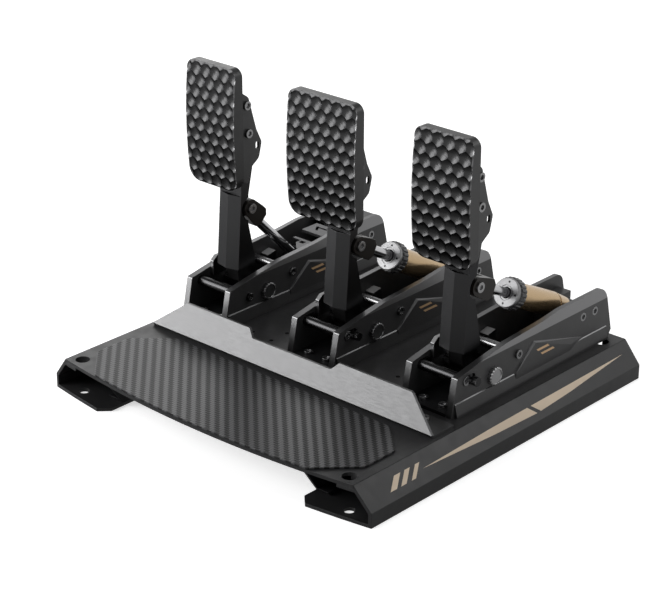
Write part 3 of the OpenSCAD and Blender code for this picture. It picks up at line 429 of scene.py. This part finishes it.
class PadShape:
    """Outline and face of a pad. x and z run from the pad's middle, and y is the scene's."""

    def __init__(self, unit):
        low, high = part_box(unit + "_pad")
        self.cx, self.cz = (low.x + high.x) / 2 / MM, (low.z + high.z) / 2 / MM
        self.half_w, self.half_h = (high.x - low.x) / 2 / MM, (high.z - low.z) / 2 / MM
        self.back = high.y / MM
        self.crown_r = (self.half_h**2 + CROWN**2) / (2 * CROWN)
        self.crown_y = self.back - EDGE_T - CROWN + self.crown_r

    def face_y(self, z):
        z = max(-self.half_h, min(self.half_h, z))
        return self.crown_y - math.sqrt(self.crown_r**2 - z**2)

    def outward(self, x, z):
        """The direction square to the nearest part of the outline, as (x, z)."""
        r = TOP_R if z > 0 else FOOT_R
        corner_x, corner_z = self.half_w - r, self.half_h - r
        if abs(x) > corner_x and abs(z) > corner_z:
            return Vector((x - math.copysign(corner_x, x), z - math.copysign(corner_z, z))).normalized()
        if self.half_w - abs(x) < self.half_h - abs(z):
            return Vector((math.copysign(1, x), 0))
        return Vector((0, 1 if z > 0 else -1))


def pad_grid(bm, shape):
    """A flat grid of even triangles with points at the corners of the hollows."""
    step = CELL / math.sqrt(3) / CELL_STEPS
    row_w = step * math.sqrt(3) / 2
    rows, cols = int(shape.half_w / row_w) + 3, int(shape.half_h / step) + 3
    grid = {}
    for i in range(-rows, rows + 1):
        for j in range(-cols, cols + 1):
            grid[i, j] = bm.verts.new((i * row_w, 0, (j + (0.5 if i % 2 else 0)) * step))
    for i in range(-rows, rows):
        for j in range(-cols, cols):
            a, b, c, d = grid[i, j], grid[i, j + 1], grid[i + 1, j], grid[i + 1, j + 1]
            for corners in ((a, d, b), (a, c, d)) if i % 2 else ((a, c, b), (b, c, d)):
                bm.faces.new(corners)


def trim_grid(bm, shape):
    """Cuts the grid to the pad's outline, a chamfer inside it."""
    cuts = []
    for x_sign in (-1, 1):
        cuts.append((Vector((x_sign * (shape.half_w - CHAMFER_W), 0, 0)), Vector((x_sign, 0, 0))))
        for r, z_sign in ((TOP_R, 1), (FOOT_R, -1)):
            corner = Vector((x_sign * (shape.half_w - r), 0, z_sign * (shape.half_h - r)))
            for k in range(1, CORNER_CUTS):
                a = math.pi / 2 * k / CORNER_CUTS
                d = Vector((x_sign * math.cos(a), 0, z_sign * math.sin(a)))
                cuts.append((corner + d * (r - CHAMFER_W), d))
    for z_sign in (-1, 1):
        cuts.append((Vector((0, 0, z_sign * (shape.half_h - CHAMFER_W))), Vector((0, 0, z_sign))))
    for place, direction in cuts:
        bmesh.ops.bisect_plane(
            bm,
            geom=bm.verts[:] + bm.edges[:] + bm.faces[:],
            plane_co=place,
            plane_no=direction,
            clear_outer=True,
            dist=1e-5,
        )
    bmesh.ops.remove_doubles(bm, verts=bm.verts[:], dist=0.02)


def hollow(x, z):
    """The depth of the nearest hollow at a place on the face."""
    row_h = CELL * math.sqrt(3) / 2
    row = round(z / row_h)
    nearest = math.inf
    for r in (row - 1, row, row + 1):
        shift = CELL / 2 if r % 2 else 0
        col = round((x - shift) / CELL)
        for c in (col - 1, col, col + 1):
            nearest = min(nearest, (x - c * CELL - shift) ** 2 + (z - r * row_h) ** 2)
    return math.sqrt(BALL_R**2 - nearest) - math.sqrt(BALL_R**2 - CELL**2 / 3)


def pad(unit):
    """One pad: hollows, chamfer, wall and back. The chamfer is bright along the upright sides alone, as painted
    highlight, and takes the face's black along top and foot, as painted shade.
    """
    shape = PadShape(unit)
    face, rim_mat, wall = range(3)
    bm = bmesh.new()
    pad_grid(bm, shape)
    trim_grid(bm, shape)
    for v in bm.verts:
        v.co.y = shape.face_y(v.co.z) + hollow(v.co.x, v.co.z)
    rim = [e for e in bm.edges if len(e.link_faces) == 1]
    for shift, y_at, mat in (
        (CHAMFER_W, lambda z: shape.face_y(z) + CHAMFER_T, rim_mat),
        (0.0, lambda z: shape.back - BACK_CHAMFER, wall),
        (-BACK_CHAMFER, lambda z: shape.back, wall),
    ):
        made = bmesh.ops.extrude_edge_only(bm, edges=rim)["geom"]
        rim = [g for g in made if isinstance(g, bmesh.types.BMEdge) and len(g.link_faces) == 1]
        for f in made:
            if isinstance(f, bmesh.types.BMFace):
                mid = f.calc_center_median()
                # Painted light and shade: the chamfer is lighter along the upright sides and black along top and
                # foot.
                upright = abs(shape.outward(mid.x, mid.z).x) > 0.8
                f.material_index = mat if mat == wall or upright else face
        for v in {v for e in rim for v in e.verts}:
            d = shape.outward(v.co.x, v.co.z)
            v.co.x += d.x * shift
            v.co.z += d.y * shift
            v.co.y = y_at(v.co.z)
    bmesh.ops.holes_fill(bm, edges=rim, sides=0)
    for v in bm.verts:
        v.co = Vector((v.co.x + shape.cx, v.co.y, v.co.z + shape.cz)) * MM
    mats = ["pad", "rim", "wall"]
    piece(unit + "_pad_face", bm, mats, unit + "_pedal", [unit + "_pad"], 24)


# Adjusters: a machined disc with four finger dots, on a scalloped collar
DISC_T = 3.5
DOT_PLACE = 0.74  # as a share of the disc's radius
SCALLOPS = notches(count=22, depth=0.055, start=0.55, run=0.2, rings=(2, 3, 4, 5))


def adjuster(unit):
    """The disc that faces the pedal, its four finger dots, and the collar behind it."""
    node = unit + "_adjuster"
    axis, pivot, along, out = about_joint(node, unit + "_preload_turn")
    front, back, outer = along.min(), along.max(), out.max()
    front_face, back_face = out[along < front + 0.01], out[along > back - 0.01]
    hole, disc_r, bore = front_face.min(), front_face.max(), back_face.min()
    step = front + DISC_T
    bm = bmesh.new()
    lathe(bm, [
        (front + 1.2, hole), (front + 0.3, hole), (front, hole + 0.3), (front, hole + 1.1),
        (front + 0.7, hole + 1.2), (front + 0.7, hole + 2.0), (front, hole + 2.2),
        (front, disc_r - 0.7), (front + 0.6, disc_r), (step, disc_r),
    ], pivot, axis, 96)
    lathe(bm, [(front + 1.2, hole), (step, hole)], pivot, axis, 96)
    side = Vector((1, 0, 0))
    up = axis.cross(side)
    for k in range(4):
        a = math.pi / 2 * k
        at = pivot + (side * math.cos(a) + up * math.sin(a)) * (disc_r * DOT_PLACE) * MM
        dot = lathe(bm, [(front - 0.04, 0.95), (front + 0.2, 1.0)], at, axis, 20, mat=2)
        bm.faces.new(dot[0]).material_index = 2
    lathe(bm, [
        (step, disc_r - 1.0), (step, outer - 1.0), (step + 0.8, outer), (step + 2.2, outer),
        (back - 2.2, outer), (back - 0.8, outer), (back, outer - 0.9), (back, bore), (step, bore),
    ], pivot, axis, 264, SCALLOPS, mat=1)
    mats = ["disc", "collar", "dark"]
    piece(node + "_ring", bm, mats, unit + "_preload_ring", [node], 28)


# Axles: shaft, spacers and toothed caps, measured from the unit's middle
SHAFT_R, SPACER_R, CAP_R, RECESS_R = 5.0, 7.5, 8.0, 6.0
HUB_X = 7.3  # the arm's hub, where the spacers start
PLATE_IN_X, PLATE_OUT_X = 20.7, 26.7  # the side plates' faces
CAP_TEETH = notches(count=16, depth=0.11, start=0.45, run=0.3, rings=(1, 2, 3))


def axle(unit):
    """The shaft, and on each side a spacer inside the plate and a cap outside it."""
    low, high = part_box(unit + "_axle")
    middle = (low + high) / 2
    start, end = PLATE_OUT_X + 0.05, (high.x - low.x) / 2 / MM  # of a cap
    bm = bmesh.new()
    shaft = [(-PLATE_OUT_X, 0), (-PLATE_OUT_X, SHAFT_R), (PLATE_OUT_X, SHAFT_R), (PLATE_OUT_X, 0)]
    lathe(bm, shaft, middle, (1, 0, 0), 48)
    for sign, _ in SIDES:
        axis = (sign, 0, 0)
        lathe(bm, [
            (HUB_X, SHAFT_R + 0.1), (HUB_X, SPACER_R - 0.4), (HUB_X + 0.4, SPACER_R),
            (PLATE_IN_X - 0.4, SPACER_R), (PLATE_IN_X, SPACER_R - 0.4), (PLATE_IN_X, SHAFT_R + 0.1),
            (HUB_X, SHAFT_R + 0.1),
        ], middle, axis, 48)
        lathe(bm, [
            (start, 0), (start, CAP_R), (end - 0.9, CAP_R), (end - 0.5, CAP_R - 0.3),
            (end - 0.1, CAP_R - 1.1), (end - 0.1, RECESS_R + 0.3), (end - 0.7, RECESS_R),
        ], middle, axis, 240, CAP_TEETH, mat=1)
        floor = lathe(bm, [(end - 0.7, RECESS_R), (end - 0.7, 0.01)], middle, axis, 48, mat=1)
        bm.faces.new(floor[-1]).material_index = 1
    # The caps are alike on all three units; the clutch's and brake's take the darker sensor metal as painted
    # shade.
    mats = ["steel", "cap" if unit == "throttle" else "sensor"]
    piece(unit + "_axle_shaft", bm, mats, "base", [unit + "_axle"], 28)


# CAD nodes keep their own shape and get softened edges and a finish
WELD = 0.002  # points closer than this become one
FLAT_ANGLE, SMOOTH_ANGLE = 0.3, 9.6  # degrees, under which two faces become one, and look round
BEVEL_ANGLE = 28  # degrees, over which an edge gets its bevel


def smoothing():
    """A node group that shades faces smooth and keeps the sharper edges."""
    g = bpy.data.node_groups.new("smooth_by_angle", "GeometryNodeTree")
    g.interface.new_socket("Geometry", in_out="INPUT", socket_type="NodeSocketGeometry")
    g.interface.new_socket("Geometry", in_out="OUTPUT", socket_type="NodeSocketGeometry")
    start, end = g.nodes.new("NodeGroupInput"), g.nodes.new("NodeGroupOutput")
    faces, edges = g.nodes.new("GeometryNodeSetShadeSmooth"), g.nodes.new("GeometryNodeSetShadeSmooth")
    faces.domain, edges.domain = "FACE", "EDGE"
    edges.inputs["Shade Smooth"].default_value = False
    angle, over = g.nodes.new("GeometryNodeInputMeshEdgeAngle"), g.nodes.new("FunctionNodeCompare")
    over.data_type, over.operation = "FLOAT", "GREATER_THAN"
    over.inputs[1].default_value = math.radians(SMOOTH_ANGLE)
    g.links.new(start.outputs[0], faces.inputs["Geometry"])
    g.links.new(faces.outputs[0], edges.inputs["Geometry"])
    g.links.new(angle.outputs["Unsigned Angle"], over.inputs[0])
    g.links.new(over.outputs[0], edges.inputs["Selection"])
    g.links.new(edges.outputs[0], end.inputs[0])
    return g


def dress(node, *materials, width, pick=None, segments=2):
    """Gives a CAD node its materials, picked by a face's place and normal, and bevels of a width."""
    o = frame["nodes"][node]
    o.data.materials.clear()
    for n in materials:
        o.data.materials.append(MATS[n].mat)
    for p in o.data.polygons:
        p.material_index = pick(p.center / MM, p.normal) if pick else 0
    if "custom_normal" in o.data.attributes:
        o.data.attributes.remove(o.data.attributes["custom_normal"])
    weld = o.modifiers.new("weld", "WELD")
    weld.merge_threshold = WELD * MM
    flat = o.modifiers.new("flat", "DECIMATE")
    flat.decimate_type = "DISSOLVE"
    flat.angle_limit = math.radians(FLAT_ANGLE)
    flat.delimit = {"MATERIAL"}
    o.modifiers.new("smooth", "NODES").node_group = SMOOTH
    bevel = o.modifiers.new("bevel", "BEVEL")
    bevel.width = width * MM
    bevel.segments = segments
    bevel.limit_method = "ANGLE"
    bevel.angle_limit = math.radians(BEVEL_ANGLE)
    bevel.use_clamp_overlap = True
    bevel.harden_normals = True


# Ways to pick a material by a face's place p and normal n
BEVEL_Z = 60  # a side plate's upper bevel lies over this height
FLOOR_SCREW_Z = 39  # the screws of floors and heel plate lie under this height
KNOB_Y, KNOB_Z = (-17, -9), 50  # the knobs of the stops lie between these, and over this height
CROSS_BAR_Y = 30  # the rear cross bar lies behind this


def plate_parts(p, n):
    """The face of a side plate; the bright edge metal on its cut edges and, as painted highlight, on faces turned
    upward; and the upper bevel in a lighter metal, also painted highlight.
    """
    # Faces turned upward take the edge metal as painted highlight; the cut edges are bare metal.
    if n.z > 0.3 or (abs(n.x) < 0.1 and n.z > -0.4):
        return 1
    # The upper bevel's lighter metal is painted highlight.
    return 2 if n.z > 0.08 and p.z > BEVEL_Z else 0


def footrest_parts(p, n):
    """The footrest's face, and its edge away from the driver in bright edge metal, a painted highlight."""
    return 1 if abs(n.z) < 0.5 and n.y > 0.5 else 0


def sensor_parts(p, n):
    """A sensor's sides, and the tops."""
    return 1 if n.z > 0.7 else 0


def screw_parts(p, n):
    """The screws of the side plates, the bright ones in floors and heel plate, and the stops' dark knobs."""
    if p.z < FLOOR_SCREW_Z:
        return 1
    return 2 if KNOB_Y[0] < p.y < KNOB_Y[1] and p.z > KNOB_Z else 0


def bar_parts(p, n):
    """The rear cross bar, and the stop bar."""
    return 0 if p.y > CROSS_BAR_Y else 1


# Printed marks: flat shapes a little over a surface
PRINT_T = 0.06
RAIL_OUT_X, RAIL_IN_X = 180.5, 164.3  # a rail's slope from its foot to its top
RAIL_FOOT_Z, RAIL_TOP_Z = 13.0, 32.7
PANEL_T = 1.8  # the raised panel on a side plate's outer face


def printed(name, polygons, place, material):
    """Flat shapes from points (along, up). place(along, up, lift) takes them to the scene."""
    bm = bmesh.new()
    for points in polygons:
        top = [bm.verts.new(place(a, b, PRINT_T)) for a, b in points]
        foot = [bm.verts.new(place(a, b, 0.0)) for a, b in points]
        bm.faces.new(top)
        bm.faces.new(foot[::-1])
        for k in range(len(points)):
            m = (k + 1) % len(points)
            bm.faces.new((top[k], foot[k], foot[m], top[m]))
    piece(name, bm, [material], "base")


def on_rail(sign):
    """Places on the slope of a rail, with up measured on the slope from its foot."""
    run, fall = RAIL_OUT_X - RAIL_IN_X, RAIL_TOP_Z - RAIL_FOOT_Z
    length = math.hypot(run, fall)

    def place(along, up, lift):
        x = RAIL_OUT_X - run * up / length + lift * fall / length
        z = RAIL_FOOT_Z + fall * up / length + lift * run / length
        return Vector((sign * x, along + ORIGIN_Y, z)) * MM

    return place


def on_plate(sign, middle_x):
    """Places on the raised panel of a unit's side plate, with up measured from the floor."""

    def place(along, up, lift):
        x = middle_x + sign * (PLATE_OUT_X + PANEL_T + lift)
        return Vector((x, along + ORIGIN_Y, up)) * MM

    return place


def leaning_bar(start, width):
    """A short bar across a rail's slope, whose ends lean away from the driver."""
    low, high, lean = 7.4, 17.4, 1.1  # lean is per unit of height
    return [
        (start + low * lean, low),
        (start + width + low * lean, low),
        (start + width + high * lean, high),
        (start + high * lean, high),
    ]


def marks():
    """Three bars and a long split wedge on each rail, and two stripes on each side plate."""
    bars = [leaning_bar(22 + 12.5 * k, 7.5 - 1.2 * k) for k in range(3)]
    wedge = [(72, 11.6), (160, 7.6), (214, 6.2), (206, 14.0), (160, 13.6)]
    tail = [(219, 6.4), (262, 8.6), (342, 15.2), (254, 14.4), (211, 14.1)]
    for sign, side in SIDES:
        printed("rail_mark_" + side, [*bars, wedge, tail], on_rail(sign), "gold_print")
    stripes = [
        [(243, 57.4), (258.5, 57.4), (261, 55.2), (245.5, 55.2)],
        [(249, 52.4), (266, 52.4), (268.5, 50.2), (251.5, 50.2)],
    ]
    for unit in UNITS:
        middle_x = centre(unit + "_axle").x / MM
        for sign, side in SIDES:
            name = f"{unit}_mark_{side}"
            printed(name, stripes, on_plate(sign, middle_x), "brass_print")


# Springs and pucks inside the cylinders and on the clutch's axle
def clutch_spring():
    """The return spring round the axle."""
    wire, turns = 1.6, 5.5
    low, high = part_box("clutch_spring")
    origin = Vector((low.x, (low.y + high.y) / 2, (low.z + high.z) / 2))
    length, radius = (high.x - low.x) / MM, (high.z - low.z) / 2 / MM
    bm = bmesh.new()
    coil(bm, origin, Vector((1, 0, 0)), length, radius - wire / 2, wire, turns)
    piece("clutch_coil", bm, ["steel"], NODE_BODY["clutch_spring"], ["clutch_spring"], 60)


def throttle_spring():
    """The spring in the cylinder, on a mesh of its own."""
    wire, turns = 1.8, 9
    axis, pivot, along, out = about_joint("throttle_spring", "throttle_preload_turn")
    origin, length = pivot + axis * along.min() * MM, along.max() - along.min()
    bm = bmesh.new()
    coil(bm, origin, axis, length, out.max() - wire / 2, wire, turns)
    body = NODE_BODY["throttle_spring"]
    wound = piece("throttle_coil", bm, ["steel"], body, ["throttle_spring"], 60)
    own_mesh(wound)


def pucks():
    """The brake's rubber pucks with rolled edges between steel washers, on a mesh of their own."""
    count, washer = 3, 1
    face_share, washer_share = 0.86, 0.8  # of a puck's radius, for its flat face and the washer
    edge_steps = 10
    axis, pivot, along, out = about_joint("brake_elastomer", "brake_preload_turn")
    start, end, radius = along.min(), along.max(), out.max()
    thick = (end - start - washer * (count - 1)) / count
    bm = bmesh.new()
    for k in range(count):
        at = start + k * (thick + washer)
        edge = [
            (at + thick * (0.5 - 0.5 * math.cos(a)), radius * (face_share + (1 - face_share) * math.sin(a)))
            for a in (math.pi * t / edge_steps for t in range(edge_steps + 1))
        ]
        lathe(bm, [(at, 0), *edge, (at + thick, 0)], pivot, axis, 48)
        if k:
            washer_r = radius * washer_share
            plate = [(at - washer, 0), (at - washer, washer_r), (at, washer_r), (at, 0)]
            lathe(bm, plate, pivot, axis, 48, mat=1)
    body = NODE_BODY["brake_elastomer"]
    stack = piece("brake_pucks", bm, ["puck", "steel"], body, ["brake_elastomer"], 40)
    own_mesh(stack)


# Stage: floor, world and lamps, all in metres. A fade is two places and the strengths there
FLOOR_HALF = 6
GLOW_AT = (0.1, -0.25, 0)  # the middle of the floor's glow
# The glow is dim near the object: a painted shadow in what metal sees of the floor.
GLOW_FADE = (0.2, 0.8, 0.34, 1.0)  # what metal sees of the floor, by the distance from there
GLOW_LEFT = (-0.2, -0.3, 0, 1.0)  # it stays bright left of the object, by x
PLAIN_FADE = (0.9, 2.4, 0.62, 1.0)  # what the camera sees of it, by the same distance
DOME_FADE = (0.25, 0.75, 1.0, 0.3)  # what metal sees of the world, by height
WORLD_LIGHT = 0.2  # strength for all other rays
LAMPS = (  # name, place, aim, width, height, watts
    ("overhead", (-0.1, 0.1, 1.7), (0, 0, 0.05), 0.8, 0.8, 7),
    ("front_left", (-1.2, -1.3, 0.82), (0, 0, 0.15), 1.2, 1.1, 31),
    ("left", (-0.88, -0.5, 0.12), (0, 0, 0.15), 0.7, 0.24, 4),
    ("right", (1.8, 0.2, 0.7), (0, 0, 0.08), 0.7, 1.2, 3.5),
    ("rear_right", (0.85, 1.25, 1.05), (0.1, 0, 0.05), 1.3, 0.7, 6),
    ("rear_left", (-1.5, 1.0, 0.85), (0, -0.1, 0.03), 0.8, 0.8, 3),
)


def floor_material():
    """Pale for the camera and for glass, a soft glow in metal that is dim near the object as painted shadow, and
    matt under the object's shadow.
    """
    mat = bpy.data.materials.new("floor")
    mat.use_nodes = True
    t = Tree(mat.node_tree)
    t.nt.nodes.clear()
    path = t.node("LightPath").outputs
    place = t.node("TexCoord").outputs["Object"]
    far = t.node("VectorMath", "DISTANCE", i0=place, i1=GLOW_AT).outputs["Value"]
    left = t.ramp(t.axes(place)[0], *GLOW_LEFT, smooth=True)
    # Painted shadow: the glow that metal sees is dim near the object.
    glow = t.math("MAXIMUM", t.ramp(far, *GLOW_FADE, smooth=True), left)
    seen = t.math("MAXIMUM", path["Is Camera Ray"], path["Is Transmission Ray"])
    plain = t.math("MULTIPLY", seen, t.ramp(far, *PLAIN_FADE, smooth=True))
    strength = t.math("MULTIPLY_ADD", path["Is Glossy Ray"], glow, plain)
    diffuse = t.node("BsdfDiffuse", Color=(0.80, 0.80, 0.80, 1)).outputs[0]
    matt = t.node("MixShader", i0=path["Is Glossy Ray"], i1=diffuse).outputs[0]
    light = t.node("Emission", Strength=strength).outputs[0]
    t.node("OutputMaterial", i0=t.node("AddShader", i0=matt, i1=light).outputs[0])
    return mat


def add_floor():
    """A wide square under the object that takes its shadow."""
    bm = bmesh.new()
    bmesh.ops.create_grid(bm, x_segments=1, y_segments=1, size=FLOOR_HALF)
    me = bpy.data.meshes.new("floor")
    bm.to_mesh(me)
    bm.free()
    me.materials.append(floor_material())
    floor = bpy.data.objects.new("floor", me)
    bpy.context.scene.collection.objects.link(floor)


def add_world():
    """White for the camera and a dome for metal and glass, over a low even light."""
    world = bpy.data.worlds.new("studio")
    bpy.context.scene.world = world
    world.use_nodes = True
    t = Tree(world.node_tree)
    t.nt.nodes.clear()
    path = t.node("LightPath").outputs
    seen = t.math("MAXIMUM", path["Is Camera Ray"], path["Is Glossy Ray"])
    seen = t.math("MAXIMUM", seen, path["Is Transmission Ray"])
    dome = t.ramp(t.axes(t.node("TexCoord").outputs["Generated"])[2], *DOME_FADE, smooth=True)
    shown = t.math("MAXIMUM", dome, path["Is Camera Ray"])
    strength = t.ramp(seen, 0, 1, WORLD_LIGHT, shown)
    back = t.node("Background", Color=(1, 1, 1, 1), Strength=strength).outputs[0]
    t.node("OutputWorld", i0=back)


def add_lamps():
    """Soft area lamps, each turned to its aim."""
    for name, place, aim, width, height, watts in LAMPS:
        lamp = bpy.data.lights.new(name, "AREA")
        lamp.shape = "RECTANGLE"
        lamp.size, lamp.size_y = width, height
        lamp.energy = watts
        o = bpy.data.objects.new(name, lamp)
        bpy.context.scene.collection.objects.link(o)
        o.location = place
        o.rotation_mode = "QUATERNION"
        o.rotation_quaternion = (Vector(aim) - Vector(place)).to_track_quat("-Z", "Y")


MATS = build_materials()
SMOOTH = smoothing()
add_camera()
dress("deck", "deck", width=0.35)
dress("rail_left", "deck", width=0.5)
dress("rail_right", "deck", width=0.5)
dress("rail_webs", "dark", width=0.4)
# The footrest's far edge takes the edge metal as painted highlight.
dress("footrest_mat", "weave", "edge", width=0.45, pick=footrest_parts)
dress("heel_plate", "heel", width=0.35)
dress("frame_screws", "screw", "silver", "bar", width=0.25, pick=screw_parts)
for unit in UNITS:
    for _, side in SIDES:
        dress(f"{unit}_side_{side}", "unit", "edge", "bevel", width=0.45, pick=plate_parts)
    dress(unit + "_floor", "dark", width=0.3)
    dress(unit + "_tie_bars", "steel", "bar", width=0.3, pick=bar_parts)
    dress(unit + "_sensor", "sensor", "block", width=0.35, pick=sensor_parts)
    dress(unit + "_arm", "arm", width=0.6)
    dress(unit + "_pad_bracket", "unit", width=0.35)
    dress(unit + "_pad_screws", "screw", width=0.25)
    dress(unit + "_pin", "silver", width=0.25)
    dress(unit + "_clevis", "clevis", width=0.6)
    dress(unit + "_rod", "rod", width=0.3)
    pad(unit)
    axle(unit)
    if unit != "clutch":
        adjuster(unit)
        dress(unit + "_cylinder", "gold", width=0.4)
        dress(unit + "_eye", "dark", width=0.8)
dress("clutch_slider", "dark", width=0.4)
dress("clutch_bridge", "bridge", width=0.3)
dress("brake_load_cell", "silver", width=0.5)
dress("throttle_rear_block", "unit", width=0.5)
dress("controller_box", "plastic", width=1.2, segments=3)
clutch_spring()
throttle_spring()
pucks()
marks()
add_floor()
add_world()
add_lamps()
bpy.context.scene.view_settings.view_transform = "Standard"
